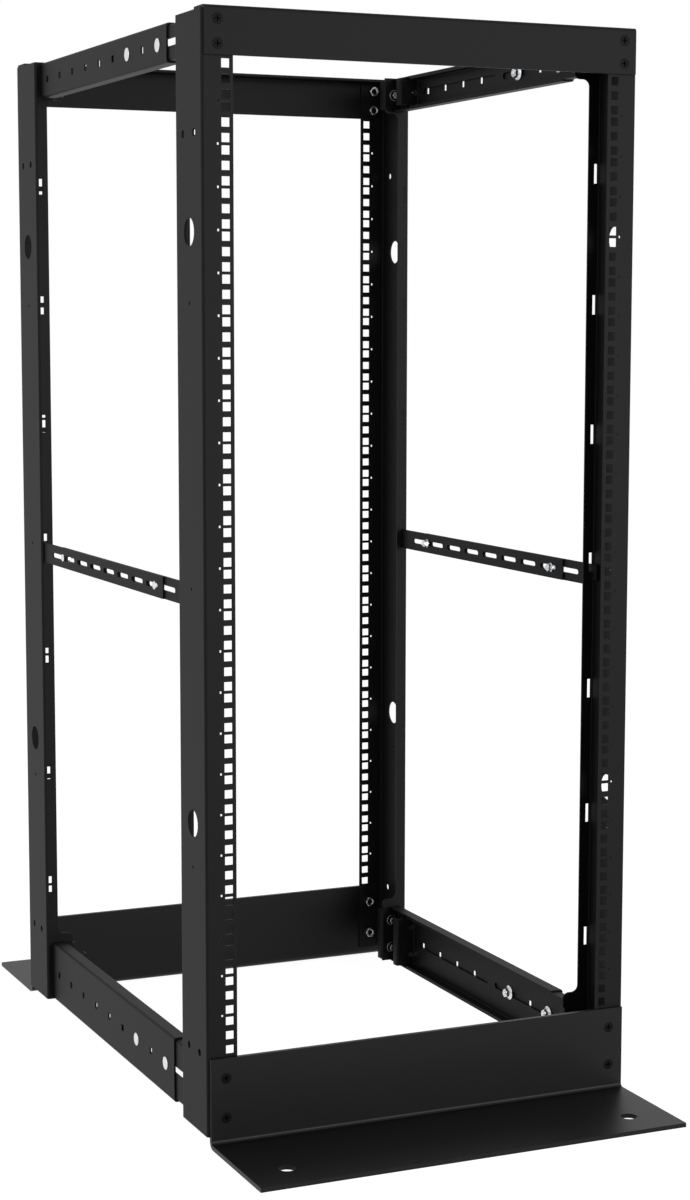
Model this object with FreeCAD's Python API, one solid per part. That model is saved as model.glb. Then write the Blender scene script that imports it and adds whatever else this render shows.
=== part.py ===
"""Four post open frame equipment rack, 24 units high, with telescoping depth rails.

Millimetres. X is the width, Y the depth (front is -Y), Z is up and the floor is Z = 0.
The origin is on the floor, midway between the four posts.
"""
import FreeCAD
import Part
import math
import os

# ------------------------------------------------------------------ rack module
UNIT = 44.45                    # height of one rack unit
UNIT_COUNT = 24
UNIT_MARGIN = 1.5               # from the unit stack to the base below and the header above
UNIT_HOLES = (6.35, 22.225, 38.1)   # square hole centres above the foot of their unit
HOLE_COLUMN_SPAN = 465.1        # left column of square holes to the right one
HOLE_COLUMN_INSET = 26.85       # square holes, in from the outside of the post
SQUARE_HOLE = 9.5
MARK_WIDTH = 2.6                # small square mark at each unit line
MARK_INSET = 18.25              # marks, in from the outside of the post

# ------------------------------------------------------------------ posts
FACE_SPAN_Y = 674.0             # front mounting face to rear mounting face
POST_T = 2.0
POST_BEND = 1.0                 # inside radius of the post bends
POST_DEPTH = 79.8
FACE_FLANGE = 35.3              # mounting flange, width from the outside of the post
BACK_FLANGE = 15.3              # inner flange, width from the outside of the post
TAB_WIDTH = 35.3                # inner flange at the rails, width from the outside
TAB_PAST_BOTTOM_RAIL = 11.2     # lower tab, reach above the bottom rail
TAB_PAST_TOP_RAIL = 2.1         # upper tab, reach below the top rail
TAB_CORNER = 8.0
SIDE_HOLE_D = 4.0               # small single holes down the side of the post
SIDE_HOLE_FIRST = 305.2
SIDE_HOLE_PITCH = 305.0
SIDE_HOLE_COUNT = 3
CABLE_HOLE_D = 30.5             # large cable holes in the side of the post
CABLE_HOLES_Z = (353.8, 989.8)
PAIR_HOLES_Z = (101.5, 1092.5)  # heights of the side holes that come in pairs
PAIR_HOLE_D = 9.0               # side holes that come in pairs
PAIR_SPREAD = 33.0
LACE_SLOT_L = 22.3              # upright slots in the inner flange
LACE_SLOT_PITCH = 149.85
LACE_SLOT_FIRST = 64.4          # first slot centre above the foot of the unit stack
LACE_SLOT_INSET = 5.8           # slot centre line, in from the outside of the post

# ------------------------------------------------------------------ header angles
HEADER_T = 3.0
HEADER_BEND = 1.0
HEADER_H = 50.8
HEADER_FLANGE = 30.5            # top flange, overall depth
HEADER_INSET = 2.4              # end of the header, in from the outside of the post
HEADER_CLEAR = 0.3              # post top to the underside of the top flange
HEADER_SCREW_INSET = 17.2
HEADER_SCREW_FIRST = 11.3       # lower screw above the lower edge of the header
HEADER_SCREW_PITCH = 25.4

# ------------------------------------------------------------------ base angles
BASE_T = 5.0
BASE_BEND = 4.0
BASE_H = 100.5
BASE_FOOT = 149.5               # foot on the floor, overall depth
BASE_INSET = 2.6
BASE_SCREW_INSET = 20.4
BASE_SCREW_FIRST = 33.4         # lower screw above the floor
BASE_SCREW_PITCH = 44.6
POST_FOOT_GAP = 3.0             # bend of the base to the foot of the post
ANCHOR_D = 19.0                 # floor anchor holes
ANCHOR_INSET = 50.4             # anchor holes, in from the outside of the posts
ANCHOR_OUT = 104.5              # anchor holes, out from the mounting face

# ------------------------------------------------------------------ screws of header and base
SCREW_HOLE_D = 6.6
SINK_D = 13.0                   # countersink at the outside face
SINK_DEPTH = 2.6

# ------------------------------------------------------------------ depth rails
RAIL_T = 2.0
RAIL_BEND = 1.0
RAIL_INSET = 8.0                # outside of the outer rail, in from the outside of the post
RAIL_FLANGE = 16.0              # outer rail, overall width of its flanges
BOTTOM_RAIL_H = 75.6
TOP_RAIL_H = 43.0
BOTTOM_RAIL_LIFT = 0.2          # foot of the post to the underside of the bottom rail
TOP_RAIL_DROP = 1.2             # top of the post to the top of the top rail
NEST_CLEAR = 0.2                # inner rail to outer rail, above and below
OUTER_RAIL_STOP = 48.4          # front end of the outer rail, back from the front post
INNER_RAIL_STOP = 50.2          # rear end of the inner rail, in front of the rear post
RAIL_HOLE = 8.0                 # square holes along the outer rail
RAIL_HOLE_FIRST = 27.1
RAIL_HOLE_PITCH = 51.2
RAIL_HOLE_LAND = 25.0           # least metal past the last hole
RAIL_SLOT_H = 8.0               # two long slots along the inner rail
RAIL_SLOT_FIRST = 15.2
RAIL_SLOT_BRIDGE = 19.0
RAIL_SLOT_LAND = 20.0
FOOT_RELIEF = 3.5               # length of rail flange cut away beside a foot
FOOT_LIP = 11.5                 # turned-back lip of every foot, overall depth
FOOT_LIP_GAP = 0.3              # lip of a foot to the edge of the post tab
FOOT_HOLE_D = 7.5               # spare holes in the rear foot of the inner rail
FOOT_HOLE_INSET = 16.6          # spare holes, in from the outside of the post
RAIL_BOLT_D = 8.5               # bolts through the tabs
RAIL_BOLT_INSET = 22.4          # bolts, in from the outside of the post
RAIL_BOLT_SPREAD = 38.4         # pair of bolts at each bottom rail

# ------------------------------------------------------------------ rear rail brackets
BRACKET_T = 2.5
BRACKET_BEND = 1.0
BRACKET_LEG = 20.4              # leg along the rail, overall length
BRACKET_SIDE_CLEAR = 1.0        # bracket to the rail flanges

# ------------------------------------------------------------------ mid bars
BAR_T = 2.0
BAR_H = 25.4
BAR_SLOT_CLEAR = 0.2            # bars to the sides of the lacing slot they hook in
BAR_LACE_SLOT = 3               # number of the lacing slot that holds the bars
BAR_SLOT_H = 6.0
BAR_SLOT_L = 39.0
BAR_SLOT_PITCH = 51.4
BAR_SLOT_COUNT = 6
BAR_END_LAND = 17.3
REAR_BAR_LEAD = 36.1            # inner flange of the post to the first slot
FRONT_BAR_LEAD = 27.1
BAR_BOLT_LAND = 8.5             # bolt hole of the front bar, from its free end
SLOT_BOLT_LAND = 30.4           # bolt through the slots of both bars, from the free end of the rear bar
HOOK_SEAT = 0.3                 # foot of the lacing slot to the neck of the hook
HOOK_NECK = 8.8                 # height of the neck in the lacing slot
HOOK_GAP = 0.3                  # hook to the far face of the flange
HOOK_L = 14.0
HOOK_DROP = 10.0                # hook below its neck

# ------------------------------------------------------------------ mid bar bolts
BAR_HOLE_D = 5.6
BAR_BOLT_D = 5.0
BAR_HEAD_D = 9.5
BAR_HEAD_H = 2.6
BAR_WASHER_D = 10.0
BAR_WASHER_T = 1.0
BAR_NUT_D = 9.2                 # across the corners
BAR_NUT_H = 3.8
BAR_BOLT_END = 3.6              # end of the bolt past its nut

# ------------------------------------------------------------------ flat sides of small round holes
BOLT_HOLE_SIDES = 6
SIDE_HOLE_SIDES = 8
CABLE_HOLE_SIDES = 20
SINK_SIDES = 8
SLOT_END_SIDES = 4              # flats round each end of a slot

# ------------------------------------------------------------------ places that follow
half_x = HOLE_COLUMN_SPAN / 2 + HOLE_COLUMN_INSET
face_y = FACE_SPAN_Y / 2
back_y = face_y - POST_DEPTH            # inner flange, face towards the middle of the rack
unit_z = BASE_H + UNIT_MARGIN
unit_top = unit_z + UNIT_COUNT * UNIT
header_z = unit_top + UNIT_MARGIN
post_z = BASE_T + BASE_BEND + POST_FOOT_GAP
post_top = header_z + HEADER_H - HEADER_T - HEADER_CLEAR
bottom_rail_z = post_z + BOTTOM_RAIL_LIFT
top_rail_z = post_top - TOP_RAIL_DROP - TOP_RAIL_H
rail_x = half_x - RAIL_INSET
tab_x = half_x - TAB_WIDTH
foot_tip_x = tab_x - FOOT_LIP_GAP       # inside of the turned-back lips
lace_x = half_x - LACE_SLOT_INSET
lace_slot_w = 2 * (BAR_T + BAR_SLOT_CLEAR)
header_screws_z = [header_z + HEADER_SCREW_FIRST + i * HEADER_SCREW_PITCH for i in range(2)]
base_screws_z = [BASE_SCREW_FIRST + i * BASE_SCREW_PITCH for i in range(2)]
THROUGH = 1.0                           # cutters run this far past the metal


def box(x0, x1, y0, y1, z0, z1):
    """A block between two corners."""
    return Part.makeBox(x1 - x0, y1 - y0, z1 - z0, FreeCAD.Vector(x0, y0, z0))


def extrude(points, rise):
    """A straight prism on a closed outline."""
    vectors = [FreeCAD.Vector(*point) for point in points]
    face = Part.Face(Part.makePolygon(vectors + vectors[:1]))
    return face.extrude(FreeCAD.Vector(*rise))


def fold(solid, axis, bends):
    """Round the sharp edges of a folded sheet: bends holds (point, radius) pairs in the section plane."""
    plane = [i for i in range(3) if i != axis]
    for point, radius in bends:
        edges = [e for e in solid.Edges if runs_along(e, axis) and passes(e, plane, point)]
        solid = solid.makeFillet(radius, edges)
    return solid


def runs_along(edge, axis):
    """True for a straight edge parallel to the axis."""
    first, last = edge.Vertexes[0].Point, edge.Vertexes[-1].Point
    others = [i for i in range(3) if i != axis]
    return all(abs(first[i] - last[i]) < 1e-6 for i in others) and abs(first[axis] - last[axis]) > 1e-6


def passes(edge, plane, point):
    """True where the edge goes through the point of the section plane."""
    place = edge.Vertexes[0].Point
    return all(abs(place[i] - value) < 1e-4 for i, value in zip(plane, point))


def ring(centre, axis, diameter, sides, offset):
    """Closed outline of a regular polygon square to the axis, its corners on the diameter, one flat at the foot."""
    first, second = [i for i in range(3) if i != axis]
    corners = []
    for i in range(sides):
        angle = 2 * math.pi * (i + 0.5) / sides - math.pi / 2
        corner = list(centre)
        corner[axis] += offset
        corner[first] += diameter / 2 * math.cos(angle)
        corner[second] += diameter / 2 * math.sin(angle)
        corners.append(FreeCAD.Vector(*corner))
    return Part.makePolygon(corners + corners[:1])


def prism(centre, axis, diameter, sides, start, end):
    """A many-sided bar along the axis, from one offset of its centre to another."""
    rise = [0, 0, 0]
    rise[axis] = end - start
    return Part.Face(ring(centre, axis, diameter, sides, start)).extrude(FreeCAD.Vector(*rise))


def drill(centre, axis, diameter, sides, sheet):
    """A cutter for a small round hole through a sheet that has one face at the centre."""
    reach = sheet + THROUGH
    return prism(centre, axis, diameter, sides, -reach, reach)


def slot(centre, axis, along, length, width, sheet):
    """A cutter for an oblong hole with round ends through a sheet that has one face at the centre."""
    across = 3 - axis - along
    reach = sheet + THROUGH
    outline = []
    for side in (1, -1):
        for i in range(SLOT_END_SIDES + 1):
            angle = math.pi * (i / SLOT_END_SIDES - 0.5)
            corner = list(centre)
            corner[axis] -= reach
            corner[along] += side * ((length - width) / 2 + width / 2 * math.cos(angle))
            corner[across] += side * width / 2 * math.sin(angle)
            outline.append(corner)
    rise = [0, 0, 0]
    rise[axis] = 2 * reach
    return extrude(outline, rise)


def countersunk(x, y, z, sheet):
    """A screw hole along Y through a sheet whose outside face is at y, with a many-sided countersink."""
    hole = drill((x, y, z), 1, SCREW_HOLE_D, BOLT_HOLE_SIDES, sheet)
    mouth = ring((x, y, z), 1, SINK_D, SINK_SIDES, 0)
    throat = ring((x, y, z), 1, SCREW_HOLE_D, SINK_SIDES, -SINK_DEPTH)
    return hole.fuse(Part.makeLoft([mouth, throat], True, True))


def mirror_x(shape):
    return shape.mirror(FreeCAD.Vector(0, 0, 0), FreeCAD.Vector(1, 0, 0))


def mirror_y(shape):
    return shape.mirror(FreeCAD.Vector(0, 0, 0), FreeCAD.Vector(0, 1, 0))


# ------------------------------------------------------------------ posts
def post_section():
    """The rear right post as a plain folded section, wide enough for the tabs all the way up."""
    outer, inner = half_x, half_x - POST_T
    face, under = face_y, face_y - POST_T
    back, back_under = back_y, back_y + POST_T
    flange_x = half_x - FACE_FLANGE
    outline = [
        (outer, back), (outer, face), (flange_x, face), (flange_x, under),
        (inner, under), (inner, back_under), (tab_x, back_under), (tab_x, back),
    ]
    post = extrude([(x, y, post_z) for x, y in outline], (0, 0, post_top - post_z))
    bends = [
        ((outer, back), POST_BEND + POST_T), ((outer, face), POST_BEND + POST_T),
        ((inner, under), POST_BEND), ((inner, back_under), POST_BEND),
    ]
    return fold(post, 2, bends)


def trim_back_flange(post):
    """Narrow the inner flange between the two tabs, with round corners."""
    low = bottom_rail_z + BOTTOM_RAIL_H + TAB_PAST_BOTTOM_RAIL
    high = top_rail_z - TAB_PAST_TOP_RAIL
    edge_x = half_x - BACK_FLANGE
    window = box(tab_x - THROUGH, edge_x, back_y - THROUGH, back_y + POST_T + THROUGH, low, high)
    post = post.cut(window)
    corners = [((x, z), TAB_CORNER) for x in (tab_x, edge_x) for z in (low, high)]
    return fold(post, 1, corners)


def post_cutters():
    """Every hole of the rear right post."""
    hole_x = HOLE_COLUMN_SPAN / 2
    mark_x = half_x - MARK_INSET
    bolt_x = half_x - RAIL_BOLT_INSET
    half_slot = lace_slot_w / 2
    cutters = []
    for unit in range(UNIT_COUNT):
        for height in UNIT_HOLES:
            cutters.append(square_hole(hole_x, unit_z + unit * UNIT + height, SQUARE_HOLE))
    for unit in range(1, UNIT_COUNT):
        cutters.append(square_hole(mark_x, unit_z + unit * UNIT, MARK_WIDTH))
    for inset, heights in ((HEADER_SCREW_INSET, header_screws_z), (BASE_SCREW_INSET, base_screws_z)):
        for z in heights:
            cutters.append(drill((half_x - inset, face_y, z), 1, SCREW_HOLE_D, BOLT_HOLE_SIDES, POST_T))
    for z in lace_slots_z():
        cutters.append(box(lace_x - half_slot, lace_x + half_slot, back_y - THROUGH, back_y + POST_T + THROUGH,
                           z - LACE_SLOT_L / 2, z + LACE_SLOT_L / 2))
    for z in rail_bolts_z("bottom") + rail_bolts_z("top"):
        cutters.append(drill((bolt_x, back_y, z), 1, RAIL_BOLT_D, BOLT_HOLE_SIDES, POST_T))
    return cutters + side_holes()


def square_hole(x, z, width):
    """A cutter through the mounting flange of the rear post."""
    half = width / 2
    return box(x - half, x + half, face_y - POST_T - THROUGH, face_y + THROUGH, z - half, z + half)


def side_holes():
    """Holes in the side of the post, on the middle line of its depth."""
    web_y = face_y - POST_DEPTH / 2
    cutters = []
    for i in range(SIDE_HOLE_COUNT):
        z = SIDE_HOLE_FIRST + i * SIDE_HOLE_PITCH
        cutters.append(drill((half_x, web_y, z), 0, SIDE_HOLE_D, SIDE_HOLE_SIDES, POST_T))
    for z in CABLE_HOLES_Z:
        cutters.append(drill((half_x, web_y, z), 0, CABLE_HOLE_D, CABLE_HOLE_SIDES, POST_T))
    for z in PAIR_HOLES_Z:
        for y in (web_y - PAIR_SPREAD / 2, web_y + PAIR_SPREAD / 2):
            cutters.append(drill((half_x, y, z), 0, PAIR_HOLE_D, SIDE_HOLE_SIDES, POST_T))
    return cutters


def lace_slots_z():
    """Heights of the lacing slots, as many as fit beside the unit stack."""
    stack = unit_top - unit_z - LACE_SLOT_FIRST - LACE_SLOT_L
    count = int(stack / LACE_SLOT_PITCH) + 1
    return [unit_z + LACE_SLOT_FIRST + i * LACE_SLOT_PITCH for i in range(count)]


def make_post():
    post = trim_back_flange(post_section())
    return post.cut(Part.makeCompound(post_cutters()))


# ------------------------------------------------------------------ header and base angles
def make_header():
    """The rear header: a folded angle on the mounting faces and over the post tops."""
    low, top = header_z, header_z + HEADER_H
    end_x = half_x - HEADER_INSET
    out_y = face_y + HEADER_T
    tip_y = out_y - HEADER_FLANGE
    outline = [
        (face_y, low), (out_y, low), (out_y, top), (tip_y, top),
        (tip_y, top - HEADER_T), (face_y, top - HEADER_T),
    ]
    header = extrude([(-end_x, y, z) for y, z in outline], (2 * end_x, 0, 0))
    bends = [((out_y, top), HEADER_BEND + HEADER_T), ((face_y, top - HEADER_T), HEADER_BEND)]
    header = fold(header, 0, bends)
    screw_x = half_x - HEADER_SCREW_INSET
    cutters = [countersunk(x, out_y, z, HEADER_T) for x in (-screw_x, screw_x) for z in header_screws_z]
    return header.cut(Part.makeCompound(cutters))


def make_base():
    """The rear base: a heavy folded angle with its foot on the floor, pointing out of the rack."""
    end_x = half_x - BASE_INSET
    out_y = face_y + BASE_T
    foot_y = face_y + BASE_FOOT
    outline = [
        (face_y, 0), (foot_y, 0), (foot_y, BASE_T), (out_y, BASE_T), (out_y, BASE_H), (face_y, BASE_H),
    ]
    base = extrude([(-end_x, y, z) for y, z in outline], (2 * end_x, 0, 0))
    bends = [((face_y, 0), BASE_BEND + BASE_T), ((out_y, BASE_T), BASE_BEND)]
    base = fold(base, 0, bends)
    screw_x = half_x - BASE_SCREW_INSET
    anchor_x = half_x - ANCHOR_INSET
    cutters = [countersunk(x, out_y, z, BASE_T) for x in (-screw_x, screw_x) for z in base_screws_z]
    for x in (-anchor_x, anchor_x):
        start = FreeCAD.Vector(x, face_y + ANCHOR_OUT, -THROUGH)
        cutters.append(Part.makeCylinder(ANCHOR_D / 2, BASE_T + 2 * THROUGH, start))
    return base.cut(Part.makeCompound(cutters))


# ------------------------------------------------------------------ depth rails
def rail_level(level):
    """Underside and height of the outer rail at the top or the bottom of the rack."""
    return (bottom_rail_z, BOTTOM_RAIL_H) if level == "bottom" else (top_rail_z, TOP_RAIL_H)


def rail_bolts_z(level):
    """Heights of the bolts that hold a rail to its post tab."""
    low, height = rail_level(level)
    middle = low + height / 2
    if level == "top":
        return [middle]
    return [middle - RAIL_BOLT_SPREAD / 2, middle + RAIL_BOLT_SPREAD / 2]


def channel(web_x, width, low, height, start_y, end_y):
    """A folded channel along Y, its web outside at web_x and its flanges pointing to the middle."""
    tip_x, in_x = web_x - width, web_x - RAIL_T
    high = low + height
    outline = [
        (web_x, low), (web_x, high), (tip_x, high), (tip_x, high - RAIL_T),
        (in_x, high - RAIL_T), (in_x, low + RAIL_T), (tip_x, low + RAIL_T), (tip_x, low),
    ]
    rail = extrude([(x, start_y, z) for x, z in outline], (0, end_y - start_y, 0))
    bends = []
    for outer_z, inner_z in ((low, low + RAIL_T), (high, high - RAIL_T)):
        bends.append(((web_x, outer_z), RAIL_BEND + RAIL_T))
        bends.append(((in_x, inner_z), RAIL_BEND))
    return fold(rail, 1, bends)


def make_outer_rail(level):
    """Rear half of a right-hand depth rail, from the rear post tab to its stop in front."""
    low, height = rail_level(level)
    front_y = OUTER_RAIL_STOP - back_y
    rail = channel(rail_x, RAIL_FLANGE, low, height, front_y, back_y)
    last = back_y - front_y - RAIL_HOLE_LAND - RAIL_HOLE_FIRST
    half = RAIL_HOLE / 2
    middle = low + height / 2
    cutters = []
    for i in range(int(last / RAIL_HOLE_PITCH) + 1):
        y = back_y - RAIL_HOLE_FIRST - i * RAIL_HOLE_PITCH
        cutters.append(box(rail_x - RAIL_T - THROUGH, rail_x + THROUGH, y - half, y + half,
                           middle - half, middle + half))
    return rail.cut(Part.makeCompound(cutters))


def make_foot(web_x, tab_y, leg, thickness, bend, low, rise):
    """A foot on a rear tab at tab_y: a leg along the rail web, and a lip turned back past the tab."""
    in_x, lip_x = web_x - thickness, foot_tip_x - thickness
    front = tab_y - thickness
    back = front + FOOT_LIP
    outline = [
        (web_x, tab_y), (web_x, tab_y - leg), (in_x, tab_y - leg), (in_x, front),
        (lip_x, front), (lip_x, back), (foot_tip_x, back), (foot_tip_x, tab_y),
    ]
    foot = extrude([(x, y, low) for x, y in outline], (0, 0, rise))
    bends = [
        ((web_x, tab_y), bend + thickness), ((in_x, front), bend),
        ((lip_x, front), bend + thickness), ((foot_tip_x, tab_y), bend),
    ]
    return fold(foot, 2, bends)


def make_inner_rail(level):
    """Front half of a right-hand depth rail, nested in the outer rail, with a turned-in foot at both ends."""
    outer_low, outer_height = rail_level(level)
    low = outer_low + RAIL_T + NEST_CLEAR
    height = outer_height - 2 * (RAIL_T + NEST_CLEAR)
    web_x = rail_x - RAIL_T
    start_y, end_y = -back_y, back_y - INNER_RAIL_STOP
    rail = channel(web_x, RAIL_FLANGE - RAIL_T, low, height, start_y + FOOT_RELIEF, end_y - FOOT_RELIEF)
    foot_low = low + RAIL_T + RAIL_BEND
    foot_rise = height - 2 * (RAIL_T + RAIL_BEND)
    rear_foot = make_foot(web_x, end_y, FOOT_RELIEF, RAIL_T, RAIL_BEND, foot_low, foot_rise)
    front_foot = mirror_y(make_foot(web_x, -start_y, FOOT_RELIEF, RAIL_T, RAIL_BEND, foot_low, foot_rise))
    rail = rail.fuse([front_foot, rear_foot]).removeSplitter()
    middle = low + height / 2
    slot_l = (end_y - start_y - RAIL_SLOT_FIRST - RAIL_SLOT_BRIDGE - RAIL_SLOT_LAND) / 2
    cutters = []
    for i in range(2):
        y = start_y + RAIL_SLOT_FIRST + slot_l / 2 + i * (slot_l + RAIL_SLOT_BRIDGE)
        cutters.append(slot((web_x, y, middle), 0, 1, slot_l, RAIL_SLOT_H, RAIL_T))
    for z in rail_bolts_z(level):
        front = (half_x - RAIL_BOLT_INSET, start_y, z)
        rear = (half_x - FOOT_HOLE_INSET, end_y, z)
        cutters.append(drill(front, 1, RAIL_BOLT_D, BOLT_HOLE_SIDES, RAIL_T))
        cutters.append(drill(rear, 1, FOOT_HOLE_D, BOLT_HOLE_SIDES, RAIL_T))
    return rail.cut(Part.makeCompound(cutters))


def make_rail_bracket(level):
    """Right rear bracket inside the outer rail, bolted to the post tab."""
    outer_low, outer_height = rail_level(level)
    low = outer_low + RAIL_T + BRACKET_SIDE_CLEAR
    rise = outer_height - 2 * (RAIL_T + BRACKET_SIDE_CLEAR)
    bracket = make_foot(rail_x - RAIL_T, back_y, BRACKET_LEG, BRACKET_T, BRACKET_BEND, low, rise)
    bolt_x = half_x - RAIL_BOLT_INSET
    cutters = [drill((bolt_x, back_y, z), 1, RAIL_BOLT_D, BOLT_HOLE_SIDES, BRACKET_T)
               for z in rail_bolts_z(level)]
    return bracket.cut(Part.makeCompound(cutters))


# ------------------------------------------------------------------ mid bars
def bar_top():
    """Top edge of the mid bars, with the necks of their hooks seated in the lacing slot."""
    return lace_slots_z()[BAR_LACE_SLOT] - LACE_SLOT_L / 2 + HOOK_SEAT + HOOK_NECK


def bar_end(lead):
    """Free end of a bar hooked in the rear post."""
    return back_y - lead - BAR_SLOT_L - (BAR_SLOT_COUNT + 1) * BAR_SLOT_PITCH - BAR_END_LAND


def make_mid_bar(inner_x, lead):
    """A slotted flat bar that hooks in the lacing slot of the rear post; inner_x is its lesser X face."""
    top = bar_top()
    low, neck_z = top - BAR_H, top - HOOK_NECK
    end_y = bar_end(lead)
    hook_y = back_y + POST_T + HOOK_GAP
    outline = [
        (end_y, low), (back_y, low), (back_y, neck_z), (hook_y, neck_z), (hook_y, neck_z - HOOK_DROP),
        (hook_y + HOOK_L, neck_z - HOOK_DROP), (hook_y + HOOK_L, top), (end_y, top),
    ]
    bar = extrude([(inner_x, y, z) for y, z in outline], (BAR_T, 0, 0))
    middle = (low + top) / 2
    long_slot = BAR_SLOT_L + BAR_SLOT_PITCH
    cutters = [slot((inner_x, back_y - lead - long_slot / 2, middle), 0, 1, long_slot, BAR_SLOT_H, BAR_T)]
    for i in range(BAR_SLOT_COUNT):
        y = back_y - lead - long_slot - (i + 1) * BAR_SLOT_PITCH + BAR_SLOT_L / 2
        cutters.append(slot((inner_x, y, middle), 0, 1, BAR_SLOT_L, BAR_SLOT_H, BAR_T))
    return bar.cut(Part.makeCompound(cutters))


def make_bar_bolt(low_x, y):
    """Bolt through a pair of lapped bars; low_x is the lesser X face of the pair, where the nut sits."""
    centre = (low_x, y, bar_top() - BAR_H / 2)
    lap = 2 * BAR_T
    nut_end = -BAR_WASHER_T - BAR_NUT_H
    washer = prism(centre, 0, BAR_WASHER_D, SINK_SIDES, -BAR_WASHER_T, 0)
    nut = prism(centre, 0, BAR_NUT_D, 6, nut_end, -BAR_WASHER_T)
    shank = prism(centre, 0, BAR_BOLT_D, BOLT_HOLE_SIDES, nut_end - BAR_BOLT_END, lap)
    head = prism(centre, 0, BAR_HEAD_D, SINK_SIDES, lap, lap + BAR_HEAD_H)
    return washer.fuse([nut, shank, head]).removeSplitter()


def make_mid_bars():
    """Rear and front bars of both sides, lapped on the middle plane of the lacing slots, with their bolts."""
    pieces = {}
    hole_y = -bar_end(FRONT_BAR_LEAD) - BAR_BOLT_LAND
    slot_y = bar_end(REAR_BAR_LEAD) + SLOT_BOLT_LAND
    middle = bar_top() - BAR_H / 2
    inside, outside = lace_x - BAR_T, lace_x
    for side, rear_x, front_x in (("right", inside, outside), ("left", -outside - BAR_T, -inside - BAR_T)):
        hole = drill((front_x, hole_y, middle), 0, BAR_HOLE_D, BOLT_HOLE_SIDES, BAR_T)
        low_x = min(rear_x, front_x)
        pieces["mid_bar_rear_" + side] = make_mid_bar(rear_x, REAR_BAR_LEAD)
        pieces["mid_bar_front_" + side] = mirror_y(make_mid_bar(front_x, FRONT_BAR_LEAD)).cut(hole)
        pieces["mid_bar_bolt_rear_" + side] = make_bar_bolt(low_x, hole_y)
        pieces["mid_bar_bolt_front_" + side] = make_bar_bolt(low_x, slot_y)
    return pieces


# ------------------------------------------------------------------ the whole rack
def make_pieces():
    post = make_post()
    header = make_header()
    base = make_base()
    pieces = {
        "post_rear_right": post,
        "post_rear_left": mirror_x(post),
        "post_front_right": mirror_y(post),
        "post_front_left": mirror_x(mirror_y(post)),
        "header_rear": header,
        "header_front": mirror_y(header),
        "base_rear": base,
        "base_front": mirror_y(base),
    }
    for level in ("bottom", "top"):
        for name, make in (("rail_outer", make_outer_rail), ("rail_inner", make_inner_rail),
                           ("rail_bracket", make_rail_bracket)):
            piece = make(level)
            pieces[name + "_" + level + "_right"] = piece
            pieces[name + "_" + level + "_left"] = mirror_x(piece)
    pieces.update(make_mid_bars())
    return pieces


os.makedirs("parts", exist_ok=True)
for node, shape in make_pieces().items():
    solid = shape.Solids[0]
    print(node, len(shape.Solids), solid.isValid(), round(solid.Volume))
    solid.exportStep("parts/" + node + ".step")
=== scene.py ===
"""Finishes, fasteners, stage and camera for a four post open frame rack."""
import math
import bpy
from mathutils import Matrix, Vector


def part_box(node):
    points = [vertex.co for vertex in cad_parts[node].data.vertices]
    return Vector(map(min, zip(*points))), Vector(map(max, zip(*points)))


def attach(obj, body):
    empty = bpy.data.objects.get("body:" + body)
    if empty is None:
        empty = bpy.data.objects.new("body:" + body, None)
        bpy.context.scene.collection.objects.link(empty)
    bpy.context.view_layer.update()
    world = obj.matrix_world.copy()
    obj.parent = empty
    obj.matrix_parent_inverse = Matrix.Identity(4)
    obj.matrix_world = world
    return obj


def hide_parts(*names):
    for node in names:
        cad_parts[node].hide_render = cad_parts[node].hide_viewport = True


bl_info = {
    "name": "Open Frame Rack",
    "version": (1, 0, 0),
    "blender": (4, 5, 0),
    "location": "3D View > Sidebar > Rack",
    "description": "Dresses a four post open frame rack with its finishes and fasteners",
    "category": "Object",
}

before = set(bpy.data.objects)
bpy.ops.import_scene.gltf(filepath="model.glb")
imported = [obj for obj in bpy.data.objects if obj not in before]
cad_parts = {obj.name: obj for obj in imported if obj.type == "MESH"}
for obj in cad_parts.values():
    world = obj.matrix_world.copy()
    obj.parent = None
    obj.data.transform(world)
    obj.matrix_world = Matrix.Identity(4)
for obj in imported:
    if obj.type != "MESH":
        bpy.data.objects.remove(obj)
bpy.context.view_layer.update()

MM = 0.001
CORNERS = [(side, end) for side in (-1, 1) for end in (-1, 1)]

# Bolts along the depth of the rack, behind its middle (+) or in front of it (-).
RAIL_BOLTS_Y = (-77.1 * MM, -179.5 * MM)
BAR_BOLTS_Y = (177.5 * MM, -166.8 * MM)

# Sides of the turned solids.
HEAD_SIDES = 40
RING_SIDES = 36
COLLAR_SIDES = 32
THREAD_SIDES = 20

THREAD_PITCH = 1.0 * MM
WASHER_HEIGHT = 1.0 * MM
BEDDED = 0.8 * MM          # foot of a hexagon that stands on a washer, a little way into it
HEX_CHAMFER = 0.7 * MM
THREAD_SUNK = 0.6 * MM     # foot of a bolt's end or a collar, this far into its nut

# Stage: places and sizes in metres, angles in radians.
LIGHT_AIM = (0, 0, 0.6)
SIDE_LIGHT_PLACE = (-3.1, -1.3, 1.5)
SIDE_LIGHT_SIZE = 2.2
FRONT_LIGHT_PLACE = (2.9, -6.4, 1.25)
FRONT_LIGHT_SIZE = 4.0
FLOOR_SIZE = 60.0
FLOOR_HEIGHT = -0.0005
FLOOR_GLOW = 0.93
SHADOW_GREY = 0.4
CAMERA_PLACE = (-1.1571, -2.7359, 0.8980)
CAMERA_HEADING = math.radians(-24.018)
CAMERA_TILT = math.radians(90 - 7.019)
CAMERA_ROLL = 0.0015
CAMERA_SHIFT_X = -0.00563
CAMERA_SHIFT_Y = 0.01538
SENSOR_HEIGHT = 36.0       # millimetres, as the camera asks for

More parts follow.
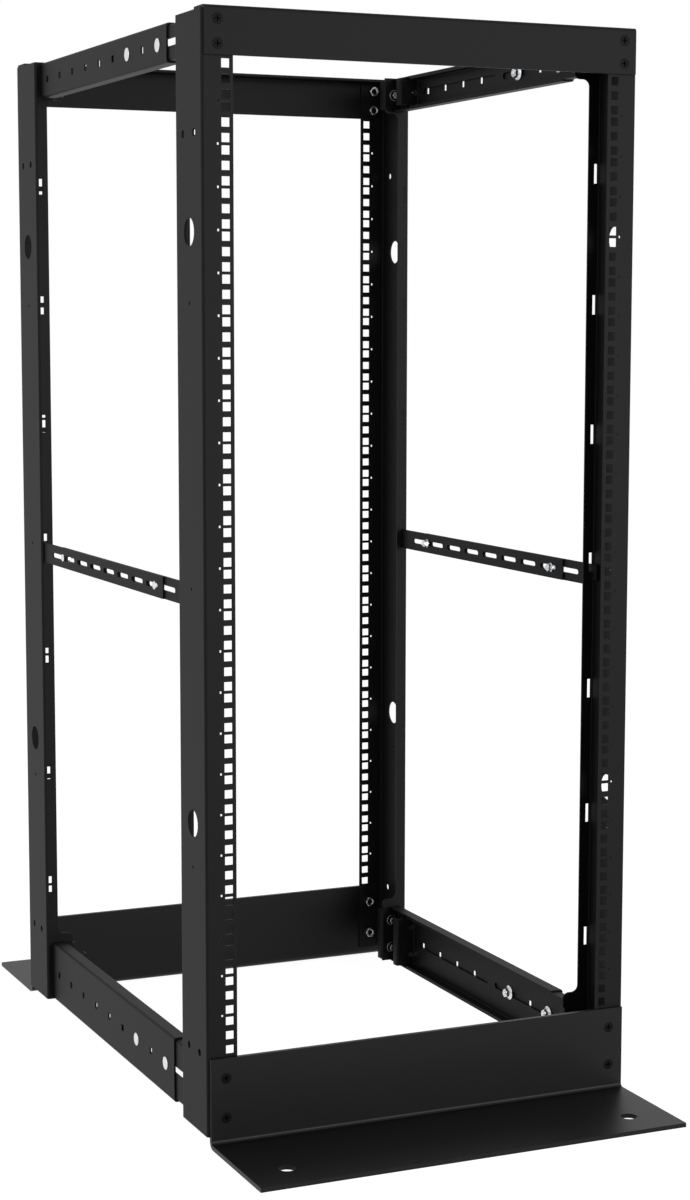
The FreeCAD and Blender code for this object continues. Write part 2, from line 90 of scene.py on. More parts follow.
# Finish of each kind of sheet part: its material, roughness, specular level and grain in mm.
COATS = {
    "base": ("powder_coat_on_heavy_plate", 0.4, 0.17, 1.6),
    "rail": ("powder_coat_on_rails", 0.54, 0.125, 1.2),
    "mid": ("powder_coat_on_flat_bars", 0.56, 0.1, 1.2),
    "post": ("powder_coat_on_posts", 0.54, 0.125, 1.4),
    "header": ("powder_coat_on_headers", 0.54, 0.125, 1.4),
}


def linear(hex_colour):
    """The linear colour of an sRGB hex value."""
    values = [int(hex_colour[i:i + 2], 16) / 255 for i in (1, 3, 5)]
    return [v / 12.92 if v <= 0.04045 else ((v + 0.055) / 1.055) ** 2.4 for v in values]


def length(name, description, millimetres):
    """A length setting with its default in millimetres."""
    return bpy.props.FloatProperty(
        name=name, description=description, default=millimetres * MM,
        min=0.0, unit="LENGTH", subtype="DISTANCE", precision=4)


def colour(name, description, hex_colour):
    """A colour setting with its default as sRGB hex."""
    return bpy.props.FloatVectorProperty(
        name=name, description=description, default=linear(hex_colour),
        min=0.0, max=1.0, size=3, subtype="COLOR")


def power(name, description, watts):
    """A light's power setting."""
    return bpy.props.FloatProperty(
        name=name, description=description, default=watts, min=0.0, unit="POWER")


# ------------------------------------------------------------------ settings
class RackFinishSettings(bpy.types.PropertyGroup):
    """Colours of the coats and platings."""
    coat: colour("Powder coat", "Black of the posts, headers, rails and bars", "#0b0b0c")
    base_coat: colour("Base coat", "Black of the heavy floor angles", "#0b0b0c")
    zinc: colour("Zinc plating", "Bright plating of the fasteners on rails and bars", "#dcdee1")
    # The bright zinc darkened to grey: painted shade for the dark surroundings that the fasteners
    # on the posts reflect.
    zinc_with_painted_shade: colour("Dull zinc", "Clouded plating of the fasteners on the posts", "#94979b")
    black_zinc: colour("Black zinc", "Plating of the sunk screws and lock washers", "#070708")


class RackFastenerSettings(bpy.types.PropertyGroup):
    """Sizes and places of the screws, bolts and nuts."""
    post_sheet: length("Post sheet", "Thickness of the posts", 2.0)
    header_sheet: length("Header sheet", "Thickness of the headers", 3.0)
    base_sheet: length("Base sheet", "Thickness of the base angles", 5.0)
    rail_sheet: length("Rail sheet", "Thickness of the rails", 2.0)
    bracket_sheet: length("Bracket sheet", "Thickness of the rear rail brackets", 2.5)
    header_inset: length("Header screws in", "Header screws, in from the outside of the post", 17.2)
    header_first: length("Header screws up", "Lower screw above the lower edge of the header", 11.3)
    header_pitch: length("Header screw pitch", "Lower header screw to the upper one", 25.4)
    base_inset: length("Base screws in", "Base screws, in from the outside of the post", 20.4)
    base_first: length("Base screws up", "Lower base screw above the floor", 33.4)
    base_pitch: length("Base screw pitch", "Lower base screw to the upper one", 44.6)
    screw_head: length("Screw head", "Diameter of the countersunk heads", 12.4)
    screw_thread: length("Screw thread", "Thread diameter of the countersunk screws", 6.0)
    screw_shank: length("Screw shank", "Foot of the drawn shank below the face", 4.4)
    recess_reach: length("Recess wing", "Middle of the cross recess to the tip of a wing", 4.0)
    recess_width: length("Recess width", "Width of a wing of the cross recess", 1.7)
    recess_depth: length("Recess depth", "Depth of the cross recess", 2.9)
    screw_nut: length("Screw nut", "Width across flats of their nuts", 11.8)
    screw_nut_height: length("Screw nut height", "Thickness of their nuts", 5.4)
    tab_inset: length("Tab bolts in", "Rail bolts, in from the outside of the post", 22.4)
    tab_spread: length("Tab bolt spread", "Pair of bolts at each bottom rail", 38.4)
    tab_washer: length("Tab bolt washer", "Diameter of the flat washers on the post tabs", 14.4)
    tab_lock: length("Tab lock washer", "Diameter of the blackened lock washers on them", 12.0)
    tab_lock_top: length("Tab lock washer top", "Top of the lock washers over the metal", 2.6)
    tab_hex: length("Tab bolt hexagon", "Width across flats of the bolts in the post tabs", 8.0)
    tab_head_top: length("Tab bolt head top", "Top of the bolt heads over the metal", 5.6)
    tab_thread: length("Tab bolt thread", "Thread diameter of the bolts in the post tabs", 6.0)
    tab_nut_height: length("Tab nut height", "Thickness of the nuts of the tab bolts", 4.0)
    tab_end: length("Tab bolt end", "End of the tab bolts past the metal", 5.6)
    rail_head: length("Carriage head", "Diameter of the domed heads outside the rails", 15.2)
    rail_flange: length("Rail nut flange", "Flange diameter of the nuts inside the rails", 18.4)
    rail_head_edge: length("Carriage head edge", "Upright edge of the domed heads", 0.4)
    rail_head_rise: length("Carriage head rise", "Rise of the dome over its edge", 1.3)
    rail_hex: length("Rail nut hexagon", "Width across flats of the nuts inside the rails", 10.2)
    rail_nut_height: length("Rail nut height", "Height of the flange nuts", 6.8)
    rail_thread: length("Rail bolt thread", "Thread diameter of the carriage bolts", 6.0)
    rail_end: length("Rail bolt end", "End of the carriage bolts past the metal", 8.2)
    bar_washer: length("Bar washer", "Washer diameter of the nuts on the mid bars", 10.6)
    bar_head: length("Bar bolt head", "Diameter of the flat domed heads on the mid bars", 9.5)
    bar_head_height: length("Bar bolt head height", "Height of the flat domed heads", 1.65)
    bar_hex: length("Bar nut hexagon", "Width across flats of the nuts on the mid bars", 8.0)
    bar_hex_top: length("Bar nut hexagon top", "Top of the hexagon over the metal", 5.6)
    bar_collar_top: length("Bar nut collar top", "Top of the locking collar over the metal", 6.9)
    bar_thread: length("Bar bolt thread", "Thread diameter of the mid bar bolts", 4.0)
    bar_end: length("Bar bolt end", "End of the mid bar bolts past the metal", 8.4)


class RackStageSettings(bpy.types.PropertyGroup):
    """Floor, light and camera."""
    floor: colour("Floor", "Colour of the plain floor", "#e6e6e6")
    side_light: power("Side light", "Power of the light on the left", 25.0)
    front_light: power("Front light", "Power of the light in front", 300.0)
    ambient: bpy.props.FloatProperty(
        name="Ambient", description="Level of the even light all round",
        default=0.24, min=0.0, subtype="FACTOR")
    lens: bpy.props.FloatProperty(
        name="Lens", description="Focal length on a 36 mm high sensor",
        default=72.76, min=1.0, unit="CAMERA")


# ------------------------------------------------------------------ materials
def node(material, kind, settings=None, links=()):
    """Adds a node with its settings, and links (output socket, input name) pairs to it."""
    added = material.node_tree.nodes.new(kind)
    for name, value in (settings or {}).items():
        if name in added.inputs:
            added.inputs[name].default_value = value
        else:
            setattr(added, name, value)
    for output, name in links:
        material.node_tree.links.new(output, added.inputs[name])
    return added


def shader(name, settings):
    """A new material with one Principled shader on its output."""
    material = bpy.data.materials.new(name)
    material.use_nodes = True
    material.node_tree.nodes.clear()
    surface = node(material, "ShaderNodeBsdfPrincipled", settings)
    node(material, "ShaderNodeOutputMaterial", links=[(surface.outputs[0], "Surface")])
    return material, surface


def powder_coat(colour_value, name, roughness, sheen, grain):
    """Polyester powder coat, sprayed and baked on folded steel: dry black, faint orange peel.

    sheen is the specular level, and grain the peel's wavelength in mm.
    """
    material, surface = shader(
        name, {"Roughness": roughness, "IOR": 1.5, "Specular IOR Level": sheen})
    links = material.node_tree.links
    place = node(material, "ShaderNodeTexCoord").outputs["Object"]
    peel = node(material, "ShaderNodeTexNoise",
                {"Scale": 1 / (grain * MM), "Detail": 2.0, "Roughness": 0.6}, [(place, "Vector")])
    bump = node(material, "ShaderNodeBump", {"Strength": 0.12, "Distance": 0.05 * MM},
                [(peel.outputs[0], "Height")])
    links.new(bump.outputs[0], surface.inputs["Normal"])
    # The film is a little thicker and darker in broad patches about 120 mm wide.
    patch_width = 120 * MM
    patch = node(material, "ShaderNodeTexNoise", {"Scale": 1 / patch_width, "Detail": 1.0},
                 [(place, "Vector")])
    tone = node(material, "ShaderNodeMapRange", {"To Min": 0.9, "To Max": 1.1},
                [(patch.outputs[0], "Value")])
    tint = node(material, "ShaderNodeVectorMath", {"operation": "SCALE"},
                [(tone.outputs[0], "Scale")])
    tint.inputs[0].default_value = colour_value
    links.new(tint.outputs[0], surface.inputs["Base Color"])
    return material


def plating(name, colour_value, roughness, cloud_width, metallic):
    """Zinc plating on cold headed steel, clouded by handling.

    It is bright metal, or a dark film where it is blackened. cloud_width is in mm.
    """
    material, surface = shader(
        name, {"Metallic": metallic, "Roughness": roughness,
               "Specular IOR Level": 0.07, "Base Color": (*colour_value, 1.0)})
    place = node(material, "ShaderNodeTexCoord").outputs["Object"]
    cloud = node(material, "ShaderNodeTexNoise",
                 {"Scale": 1 / (cloud_width * MM), "Detail": 2.0}, [(place, "Vector")])
    rough = node(material, "ShaderNodeMapRange",
                 {"To Min": roughness - 0.08, "To Max": roughness + 0.1},
                 [(cloud.outputs[0], "Value")])
    material.node_tree.links.new(rough.outputs[0], surface.inputs["Roughness"])
    return material


def bright_zinc(context):
    """Bright zinc, which glints: the bolts and nuts on the rails and the bars."""
    name = "bright_zinc_plated_steel"
    value = context.scene.rack_finish.zinc
    return bpy.data.materials.get(name) or plating(name, value, 0.3, 5.0, 1.0)


def zinc_with_painted_shade(context):
    """Zinc on the nuts and bolts on the posts, coloured a darker grey than the bright zinc as
    painted shade for the dark surroundings they reflect.
    """
    name = "zinc_plated_steel_with_painted_shade"
    value = context.scene.rack_finish.zinc_with_painted_shade
    return bpy.data.materials.get(name) or plating(name, value, 0.32, 3.0, 1.0)


def black_zinc(context):
    """Blackened zinc, as dark as the coat round it: the countersunk screws and lock washers."""
    name = "blackened_zinc_on_screws"
    value = context.scene.rack_finish.black_zinc
    return bpy.data.materials.get(name) or plating(name, value, 0.5, 4.0, 0.0)


# ------------------------------------------------------------------ modelling
def select(*pieces):
    """Selects these pieces alone, the first one active."""
    bpy.ops.object.select_all(action="DESELECT")
    for piece in pieces:
        piece.select_set(True)
    bpy.context.view_layer.objects.active = pieces[0]


def turned(sides, profile):
    """A closed solid of revolution round Z from (radius, height) pairs in metres, foot first."""
    bpy.ops.object.select_all(action="DESELECT")
    radius, height = profile[0]
    bpy.ops.mesh.primitive_circle_add(vertices=sides, radius=radius, fill_type="NGON",
                                      location=(0, 0, 0), enter_editmode=True)
    bpy.ops.transform.translate(value=(0, 0, height))
    for next_radius, next_height in profile[1:]:
        rise = (0, 0, next_height - height)
        bpy.ops.mesh.extrude_region_move(TRANSFORM_OT_translate={"value": rise})
        ratio = next_radius / radius
        bpy.ops.transform.resize(value=(ratio, ratio, 1), center_override=(0, 0, next_height))
        radius, height = next_radius, next_height
    bpy.ops.mesh.select_all(action="SELECT")
    bpy.ops.mesh.normals_make_consistent(inside=False)
    bpy.ops.object.mode_set(mode="OBJECT")
    return bpy.context.object


def carve(piece, tool, operation):
    """Cuts the tool from the piece, or keeps what both hold, and deletes the tool."""
    select(piece)
    bpy.ops.object.modifier_add(type="BOOLEAN")
    cut = piece.modifiers[-1]
    cut.operation = operation
    cut.solver = "EXACT"
    cut.object = tool
    bpy.ops.object.modifier_apply(modifier=cut.name)
    bpy.data.objects.remove(tool)
    return piece


def join(name, pieces):
    """One mesh from several solids, smooth where it turns."""
    select(*pieces)
    if len(pieces) > 1:
        bpy.ops.object.join()
    joined = bpy.context.object
    joined.name = name
    joined.data.name = name
    bpy.ops.object.shade_smooth_by_angle(angle=math.radians(32))
    return joined


def copies(name, master, places, material):
    """Sets a copy of the master at each (point, outward direction) and joins them."""
    made = []
    for point, direction in places:
        copy = master.copy()
        copy.data = master.data.copy()
        bpy.context.scene.collection.objects.link(copy)
        turn = Vector((0, 0, 1)).rotation_difference(Vector(direction)).to_matrix().to_4x4()
        copy.matrix_world = Matrix.Translation(point) @ turn
        made.append(copy)
    select(*made)
    bpy.ops.object.transform_apply(location=True, rotation=True, scale=True)
    bpy.data.objects.remove(master)
    piece = join(name, made)
    piece.data.materials.clear()
    piece.data.materials.append(material)
    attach(piece, "root")
    return piece


def hexagon(flats, low, high, chamfer):
    """A hexagonal prism with two corners along X, its upper corners turned off by a drum."""
    corner = flats / math.sqrt(3)
    prism = turned(6, [(corner, low), (corner, high)])
    bpy.ops.object.mode_set(mode="EDIT")
    bpy.ops.transform.rotate(value=math.radians(30), orient_axis="Z", center_override=(0, 0, 0))
    bpy.ops.object.mode_set(mode="OBJECT")
    clear = corner * 1.1
    drum = turned(RING_SIDES, [(clear, low - chamfer), (clear, high - chamfer * 1.7),
                               (flats * 0.47, high + chamfer * 0.05),
                               (flats * 0.4, high + chamfer)])
    return carve(prism, drum, "INTERSECT")


def flanged_hexagon(flange, flats, height):
    """A hexagon on a round flange that slopes up to it, as on flange nuts."""
    rim = flange / 2
    cone = turned(HEAD_SIDES, [(rim - 0.15 * MM, 0.0), (rim, 0.25 * MM), (rim, 0.7 * MM),
                               (rim - 0.35 * MM, 1.0 * MM), (flats * 0.56, height * 0.36),
                               (flats * 0.45, height * 0.4)])
    return join("flanged", [cone, hexagon(flats, height * 0.2, height, 0.12 * flats)])


def thread(radius, low, high):
    """A threaded end drawn as ridges, with a lead at its tip."""
    root = radius - 0.55 * THREAD_PITCH
    last_ridge = 1.05 * THREAD_PITCH
    profile = [(root, low)]
    height = low
    for _ in range(int((high - low - last_ridge) / THREAD_PITCH)):
        profile += [(radius, height + THREAD_PITCH * 0.5), (root, height + THREAD_PITCH)]
        height += THREAD_PITCH
    profile += [(radius, height + THREAD_PITCH * 0.5), (radius, high - THREAD_PITCH * 0.8),
                (root * 0.93, high)]
    return turned(THREAD_SIDES, profile)


def washer(diameter):
    """A plain flat washer with its edges broken."""
    rim = diameter / 2
    broken = 0.15 * MM
    return turned(RING_SIDES, [(rim - 0.1 * MM, 0.0), (rim, broken),
                               (rim, WASHER_HEIGHT - broken), (rim - broken, WASHER_HEIGHT)])


def lock_washer(diameter, low, high):
    """A split spring washer: a thick ring with its edges broken and a slanting cut."""
    rim = diameter / 2
    broken = 0.2 * MM
    split, slant = 0.5 * MM, 0.5
    ring = turned(RING_SIDES, [(rim - broken, low), (rim, low + broken),
                               (rim, high - broken), (rim - broken, high)])
    bpy.ops.object.select_all(action="DESELECT")
    bpy.ops.mesh.primitive_cube_add(size=1.0, location=(0.0, -rim, (low + high) / 2),
                                    rotation=(0.0, slant, 0.0))
    blade = bpy.context.object
    blade.scale = (split, 0.7 * rim, 4 * (high - low))
    bpy.ops.object.transform_apply(location=True, rotation=True, scale=True)
    return carve(ring, blade, "DIFFERENCE")


def pick_faces(test):
    """Selects the faces of the mesh in edit mode that pass the test."""
    bpy.ops.mesh.select_all(action="DESELECT")
    bpy.ops.object.mode_set(mode="OBJECT")
    for face in bpy.context.object.data.polygons:
        face.select = test(face)
    bpy.ops.object.mode_set(mode="EDIT")


def cross_punch(reach, half_width, depth):
    """The punch of a cross recess: four tapered wings round a point, standing over the face."""
    taper = 0.35
    over_face = 1 * MM
    bpy.ops.object.select_all(action="DESELECT")
    bpy.ops.mesh.primitive_cube_add(size=2 * half_width, location=(0, 0, 0), enter_editmode=True)
    bpy.ops.mesh.select_mode(type="FACE")
    for axis in (0, 1):
        for side in (-1, 1):
            pick_faces(lambda f, a=axis, s=side: f.normal[a] * s > 0.9
                       and f.center[a] * s > half_width * 0.9
                       and abs(f.center[1 - a]) < half_width * 0.5)
            step = [0, 0, 0]
            step[axis] = side * (reach - half_width)
            bpy.ops.mesh.extrude_region_move(TRANSFORM_OT_translate={"value": step})
    pick_faces(lambda f: f.normal[2] < -0.9)
    bpy.ops.transform.translate(value=(0, 0, -(depth - half_width)))
    bpy.ops.transform.resize(value=(taper, taper, 1), center_override=(0, 0, -depth))
    pick_faces(lambda f: f.normal[2] > 0.9)
    bpy.ops.transform.translate(value=(0, 0, over_face - half_width))
    bpy.ops.mesh.select_all(action="SELECT")
    bpy.ops.mesh.normals_make_consistent(inside=False)
    bpy.ops.object.mode_set(mode="OBJECT")
    return bpy.context.object


# ------------------------------------------------------------------ places
def frame_screw_places(settings):
    """(point on the outer face, outward direction, metal thickness) of each frame screw."""
    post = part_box("post_rear_right")[1]
    rows = (("header", settings.header_sheet, settings.header_inset,
             settings.header_first, settings.header_pitch),
            ("base", settings.base_sheet, settings.base_inset,
             settings.base_first, settings.base_pitch))
    places = []
    for part, sheet, inset, first, pitch in rows:
        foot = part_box(part + "_rear")[0].z
        for side, end in CORNERS:
            for i in range(2):
                point = Vector((side * (post.x - inset), end * (post.y + sheet),
                                foot + first + i * pitch))
                places.append((point, Vector((0, end, 0)), sheet + settings.post_sheet))
    return places


def tab_bolt_places(settings):
    """(point on the inner face, direction to the middle, metal thickness) of each tab bolt."""
    post_low, post_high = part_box("post_rear_right")
    x = post_high.x - settings.tab_inset
    half = settings.tab_spread / 2
    places = []
    for level, rises in (("bottom", (-half, half)), ("top", (0.0,))):
        low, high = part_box("rail_outer_" + level + "_right")
        middle = (low.z + high.z) / 2
        for side, end in CORNERS:
            sheet = settings.bracket_sheet if end > 0 else settings.rail_sheet
            for rise in rises:
                point = Vector((side * x, end * (post_low.y - sheet), middle + rise))
                places.append((point, Vector((0, -end, 0)), sheet + settings.post_sheet))
    return places


def behind(places):
    """The same places on the far side of the metal, facing the other way."""
    return [(point - out * depth, -out) for point, out, depth in places]


def in_front(places):
    """The places without their metal thickness."""
    return [(point, out) for point, out, depth in places]


# ------------------------------------------------------------------ operators
class RACK_OT_coats(bpy.types.Operator):
    """Coats the posts, headers, base angles, rails and bars"""
    bl_idname = "rack.coats"
    bl_label = "Coat the steel"

    def execute(self, context):
        settings = context.scene.rack_finish
        coats = {}
        for kind, finish in COATS.items():
            black = settings.base_coat if kind == "base" else settings.coat
            coats[kind] = powder_coat(black, *finish)
        for name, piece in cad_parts.items():
            piece.data.materials.clear()
            piece.data.materials.append(coats[name.split("_")[0]])
        return {"FINISHED"}


class RACK_OT_frame_screws(bpy.types.Operator):
    """Sets the countersunk cross recessed screws of the headers and base angles"""
    bl_idname = "rack.frame_screws"
    bl_label = "Header and base screws"

    def execute(self, context):
        settings = context.scene.rack_fasteners
        radius = settings.screw_thread / 2
        rim = settings.screw_head / 2
        land, lip = 0.3 * MM, 0.5 * MM
        head = turned(HEAD_SIDES, [
            (radius * 0.95, -settings.screw_shank), (radius, -(rim - radius + land)), (rim, -land),
            (rim - 0.05 * MM, -0.06 * MM), (rim - lip, 0.0)])
        punch = cross_punch(settings.recess_reach, settings.recess_width / 2, settings.recess_depth)
        carve(head, punch, "DIFFERENCE")
        places = frame_screw_places(settings)
        copies("frame_screws", head, in_front(places), black_zinc(context))
        nut_top = settings.screw_nut_height
        end = thread(radius, nut_top - 3.0 * MM, nut_top - 0.2 * MM)
        copies("frame_screw_ends", end, behind(places), black_zinc(context))
        return {"FINISHED"}


class RACK_OT_frame_nuts(bpy.types.Operator):
    """Sets the countersunk hexagon nuts behind the header and base screws"""
    bl_idname = "rack.frame_nuts"
    bl_label = "Header and base nuts"

    def execute(self, context):
        settings = context.scene.rack_fasteners
        height = settings.screw_nut_height
        radius = settings.screw_thread / 2
        chamfer, mouth_depth, over = 0.9 * MM, 0.8 * MM, 0.1 * MM
        nut = hexagon(settings.screw_nut, 0.0, height, chamfer)
        mouth = turned(COLLAR_SIDES, [
            (radius, height - 2 * mouth_depth), (radius * 1.04, height - mouth_depth),
            (radius * 1.45, height + over)])
        carve(nut, mouth, "DIFFERENCE")
        places = behind(frame_screw_places(settings))
        copies("frame_nuts", nut, places, zinc_with_painted_shade(context))
        return {"FINISHED"}


class RACK_OT_tab_bolts(bpy.types.Operator):
    """Sets the bolts that hold the rails to the post tabs, with their washers and nuts"""
    bl_idname = "rack.tab_bolts"
    bl_label = "Tab bolts"

    def execute(self, context):
        settings = context.scene.rack_fasteners
        places = tab_bolt_places(settings)
        flats = settings.tab_hex
        head = hexagon(flats, BEDDED, settings.tab_head_top, HEX_CHAMFER)
        bolt = join("head", [washer(settings.tab_washer), head])
        copies("tab_bolts", bolt, in_front(places), zinc_with_painted_shade(context))
        lock = lock_washer(settings.tab_lock, WASHER_HEIGHT, settings.tab_lock_top)
        copies("tab_lock_washers", lock, in_front(places), black_zinc(context))
        nut = hexagon(flats, 0.0, settings.tab_nut_height, HEX_CHAMFER)
        root = settings.tab_nut_height - THREAD_SUNK
        end = thread(settings.tab_thread / 2, root, settings.tab_end)
        nuts = copies("tab_nuts", join("nut", [nut, end]), behind(places), zinc_with_painted_shade(context))
        return {"FINISHED"}


class RACK_OT_rail_bolts(bpy.types.Operator):
    """Sets the carriage bolts that lock the telescoping rails, with their nuts"""
    bl_idname = "rack.rail_bolts"
    bl_label = "Rail carriage bolts"

    def execute(self, context):
        settings = context.scene.rack_fasteners
        outside, inside = [], []
        for level in ("bottom", "top"):
            low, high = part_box("rail_outer_" + level + "_right")
            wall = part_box("rail_inner_" + level + "_right")[1].x - settings.rail_sheet
            middle = (low.z + high.z) / 2
            for side in (-1, 1):
                for y in RAIL_BOLTS_Y:
                    outside.append((Vector((side * high.x, y, middle)), Vector((side, 0, 0))))
                    inside.append((Vector((side * wall, y, middle)), Vector((-side, 0, 0))))
        rim = settings.rail_head / 2
        edge, rise = settings.rail_head_edge, settings.rail_head_rise
        dome = [(rim * math.cos(math.radians(a)), edge + rise * math.sin(math.radians(a)))
                for a in range(0, 90, 9)]
        head = turned(HEAD_SIDES, [(rim - 0.2 * MM, 0.0)] + dome)
        copies("rail_bolt_heads", head, outside, bright_zinc(context))
        nut = flanged_hexagon(settings.rail_flange, settings.rail_hex, settings.rail_nut_height)
        root = settings.rail_nut_height - THREAD_SUNK
        end = thread(settings.rail_thread / 2, root, settings.rail_end)
        nuts = copies("rail_nuts", join("nut", [nut, end]), inside, bright_zinc(context))
        return {"FINISHED"}


class RACK_OT_bar_bolts(bpy.types.Operator):
    """Sets the bolts that join the halves of each mid bar, heads outside and lock nuts inside"""
    bl_idname = "rack.bar_bolts"
    bl_label = "Mid bar bolts"

    def execute(self, context):
        settings = context.scene.rack_fasteners
        low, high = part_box("mid_bar_rear_right")
        inner, outer = low.x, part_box("mid_bar_front_right")[1].x
        middle = (low.z + high.z) / 2
        inside, outside = [], []
        for side in (-1, 1):
            for y in BAR_BOLTS_Y:
                inside.append((Vector((side * inner, y, middle)), Vector((-side, 0, 0))))
                outside.append((Vector((side * outer, y, middle)), Vector((side, 0, 0))))
        hex_top, collar_top = settings.bar_hex_top, settings.bar_collar_top
        chamfer, tip, lead = 0.5 * MM, settings.bar_end, 0.4 * MM
        nut = hexagon(settings.bar_hex, BEDDED, hex_top, chamfer)
        collar, shank = settings.bar_hex * 0.42, settings.bar_thread / 2
        end = turned(COLLAR_SIDES, [
            (collar, hex_top - THREAD_SUNK), (collar, collar_top - 0.6 * MM),
            (collar - chamfer, collar_top), (shank, collar_top),
            (shank, tip - lead), (shank - lead, tip)])
        stack = join("nut", [washer(settings.bar_washer), nut, end])
        nuts = copies("bar_nuts", stack, inside, bright_zinc(context))
        rim, top, broken = settings.bar_head / 2, settings.bar_head_height, 0.1 * MM
        head = turned(RING_SIDES, [
            (rim - broken, 0.0), (rim, 2 * broken), (rim - broken, 5 * broken),
            (rim * 0.8, top - 0.55 * MM), (rim * 0.5, top - 0.15 * MM), (rim * 0.2, top)])
        heads = copies("bar_bolt_heads", head, outside, bright_zinc(context))
        bolts = join("mid_bar_bolts", [nuts, heads])
        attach(bolts, "root")
        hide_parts(*(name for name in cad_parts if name.startswith("mid_bar_bolt_")))
        return {"FINISHED"}


class RACK_OT_stage(bpy.types.Operator):
    """Builds the floor, the light and the camera"""
    bl_idname = "rack.stage"
    bl_label = "Stage"

    def execute(self, context):
        settings = context.scene.rack_stage
        build_floor(settings.floor)
        build_surround(context.scene, settings.ambient)
        build_light("side_light", SIDE_LIGHT_PLACE, SIDE_LIGHT_SIZE, settings.side_light)
        build_light("front_light", FRONT_LIGHT_PLACE, FRONT_LIGHT_SIZE, settings.front_light)
        build_camera(context.scene, settings.lens)
        context.scene.view_settings.view_transform = "Standard"
        return {"FINISHED"}


# ------------------------------------------------------------------ stage
def mix_seen(tree, lighting, seen):
    """Mixes two shaders: one as the object is lit by it, one as eye, metal and glass see it."""
    path = node(tree, "ShaderNodeLightPath")
    eye_or_metal = node(tree, "ShaderNodeMath", {"operation": "MAXIMUM"})
    any_of_them = node(tree, "ShaderNodeMath", {"operation": "MAXIMUM"})
    links = tree.node_tree.links
    links.new(path.outputs["Is Camera Ray"], eye_or_metal.inputs[0])
    links.new(path.outputs["Is Glossy Ray"], eye_or_metal.inputs[1])
    links.new(eye_or_metal.outputs[0], any_of_them.inputs[0])
    links.new(path.outputs["Is Transmission Ray"], any_of_them.inputs[1])
    mixed = node(tree, "ShaderNodeMixShader", links=[(any_of_them.outputs[0], 0)])
    links.new(lighting.outputs[0], mixed.inputs[1])
    links.new(seen.outputs[0], mixed.inputs[2])
    return mixed.outputs[0]


def build_floor(colour_value):
    """A pale floor that keeps the shadow of the rack."""
    material = bpy.data.materials.new("pale_floor")
    material.use_nodes = True
    material.node_tree.nodes.clear()
    matt = node(material, "ShaderNodeBsdfDiffuse", {"Color": (*colour_value, 1.0)})
    shadow = node(material, "ShaderNodeBsdfDiffuse", {"Color": (*[SHADOW_GREY] * 3, 1.0)})
    glow = node(material, "ShaderNodeEmission",
                {"Color": (1.0, 1.0, 1.0, 1.0), "Strength": FLOOR_GLOW})
    lit = node(material, "ShaderNodeAddShader")
    material.node_tree.links.new(shadow.outputs[0], lit.inputs[0])
    material.node_tree.links.new(glow.outputs[0], lit.inputs[1])
    node(material, "ShaderNodeOutputMaterial", links=[(mix_seen(material, matt, lit), "Surface")])
    bpy.ops.object.select_all(action="DESELECT")
    bpy.ops.mesh.primitive_plane_add(size=FLOOR_SIZE, location=(0, 0, FLOOR_HEIGHT))
    floor = bpy.context.object
    floor.name = "floor"
    floor.data.materials.append(material)


def build_surround(scene, level):
    """An even light all round that shows as plain white."""
    world = bpy.data.worlds.new("surround")
    scene.world = world
    world.use_nodes = True
    world.node_tree.nodes.clear()
    white = (1.0, 1.0, 1.0, 1.0)
    even = node(world, "ShaderNodeBackground", {"Color": white, "Strength": level})
    backdrop = node(world, "ShaderNodeBackground", {"Color": white, "Strength": 1.0})
    node(world, "ShaderNodeOutputWorld", links=[(mix_seen(world, even, backdrop), "Surface")])


def build_light(name, place, size, watts):
    """A large square soft light turned to the middle of the rack."""
    light = bpy.data.lights.new(name, "AREA")
    light.shape = "SQUARE"
    light.size = size
    light.energy = watts
    lamp = bpy.data.objects.new(name, light)
    bpy.context.scene.collection.objects.link(lamp)
    aim = Vector(LIGHT_AIM) - Vector(place)
    turn = aim.to_track_quat("-Z", "Y").to_matrix().to_4x4()
    lamp.matrix_world = Matrix.Translation(place) @ turn


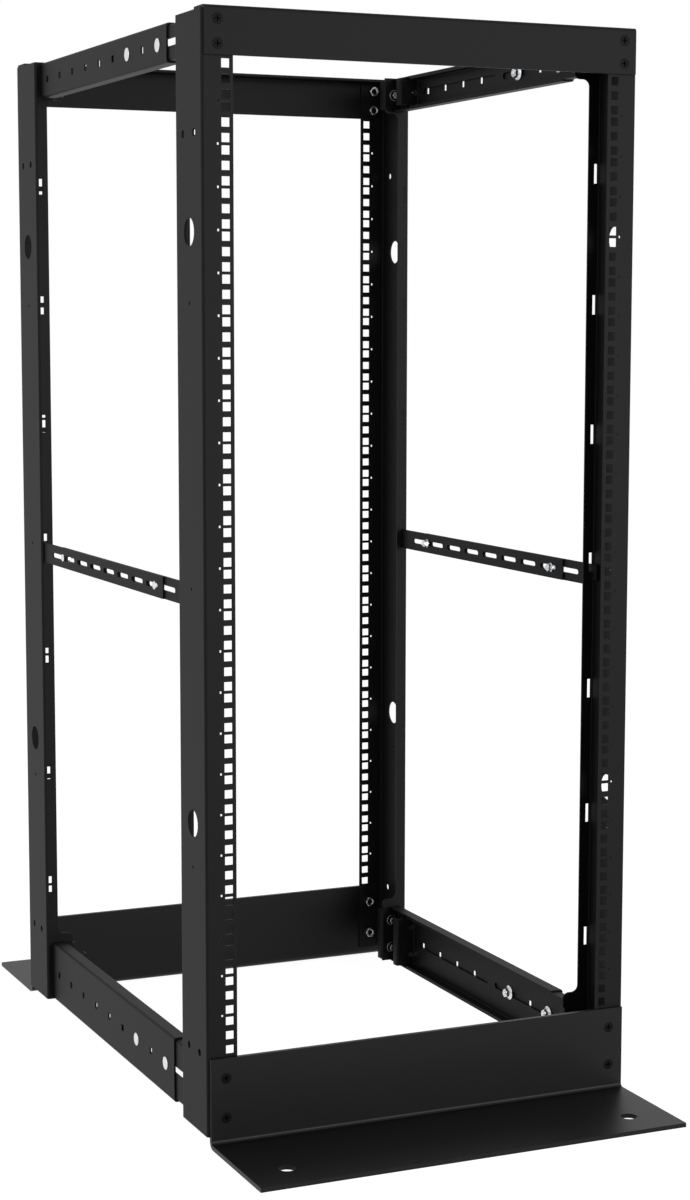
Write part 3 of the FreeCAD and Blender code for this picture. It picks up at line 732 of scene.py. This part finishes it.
def build_camera(scene, lens):
    """A camera in front of the rack and to its left, a little above its middle."""
    camera = bpy.data.objects.new("camera", bpy.data.cameras.new("camera"))
    scene.collection.objects.link(camera)
    camera.data.sensor_fit = "VERTICAL"
    camera.data.sensor_height = SENSOR_HEIGHT
    camera.data.lens = lens
    camera.data.shift_x = CAMERA_SHIFT_X
    camera.data.shift_y = CAMERA_SHIFT_Y
    turn = (Matrix.Rotation(CAMERA_HEADING, 4, "Z") @ Matrix.Rotation(CAMERA_TILT, 4, "X")
            @ Matrix.Rotation(CAMERA_ROLL, 4, "Z"))
    camera.matrix_world = Matrix.Translation(CAMERA_PLACE) @ turn
    scene.camera = camera


# ------------------------------------------------------------------ panel and registration
class RACK_PT_panel(bpy.types.Panel):
    """Lists the settings and the steps that dress the rack"""
    bl_idname = "RACK_PT_panel"
    bl_label = "Open Frame Rack"
    bl_space_type = "VIEW_3D"
    bl_region_type = "UI"
    bl_category = "Rack"

    def draw(self, context):
        for group in SETTINGS:
            settings = getattr(context.scene, group)
            box = self.layout.box()
            for name in settings.__annotations__:
                box.prop(settings, name)
        for operator in OPERATORS:
            self.layout.operator(operator.bl_idname)


SETTINGS = {"rack_finish": RackFinishSettings, "rack_fasteners": RackFastenerSettings,
            "rack_stage": RackStageSettings}
OPERATORS = (RACK_OT_coats, RACK_OT_frame_screws, RACK_OT_frame_nuts, RACK_OT_tab_bolts,
             RACK_OT_rail_bolts, RACK_OT_bar_bolts, RACK_OT_stage)
CLASSES = (*SETTINGS.values(), *OPERATORS, RACK_PT_panel)


def register():
    for cls in CLASSES:
        bpy.utils.register_class(cls)
    for name, cls in SETTINGS.items():
        setattr(bpy.types.Scene, name, bpy.props.PointerProperty(type=cls))


def unregister():
    for name in SETTINGS:
        delattr(bpy.types.Scene, name)
    for cls in reversed(CLASSES):
        bpy.utils.unregister_class(cls)


def main():
    register()
    bpy.ops.rack.coats()
    bpy.ops.rack.frame_screws()
    bpy.ops.rack.frame_nuts()
    bpy.ops.rack.tab_bolts()
    bpy.ops.rack.rail_bolts()
    bpy.ops.rack.bar_bolts()
    bpy.ops.rack.stage()


if __name__ == "__main__":
    main()
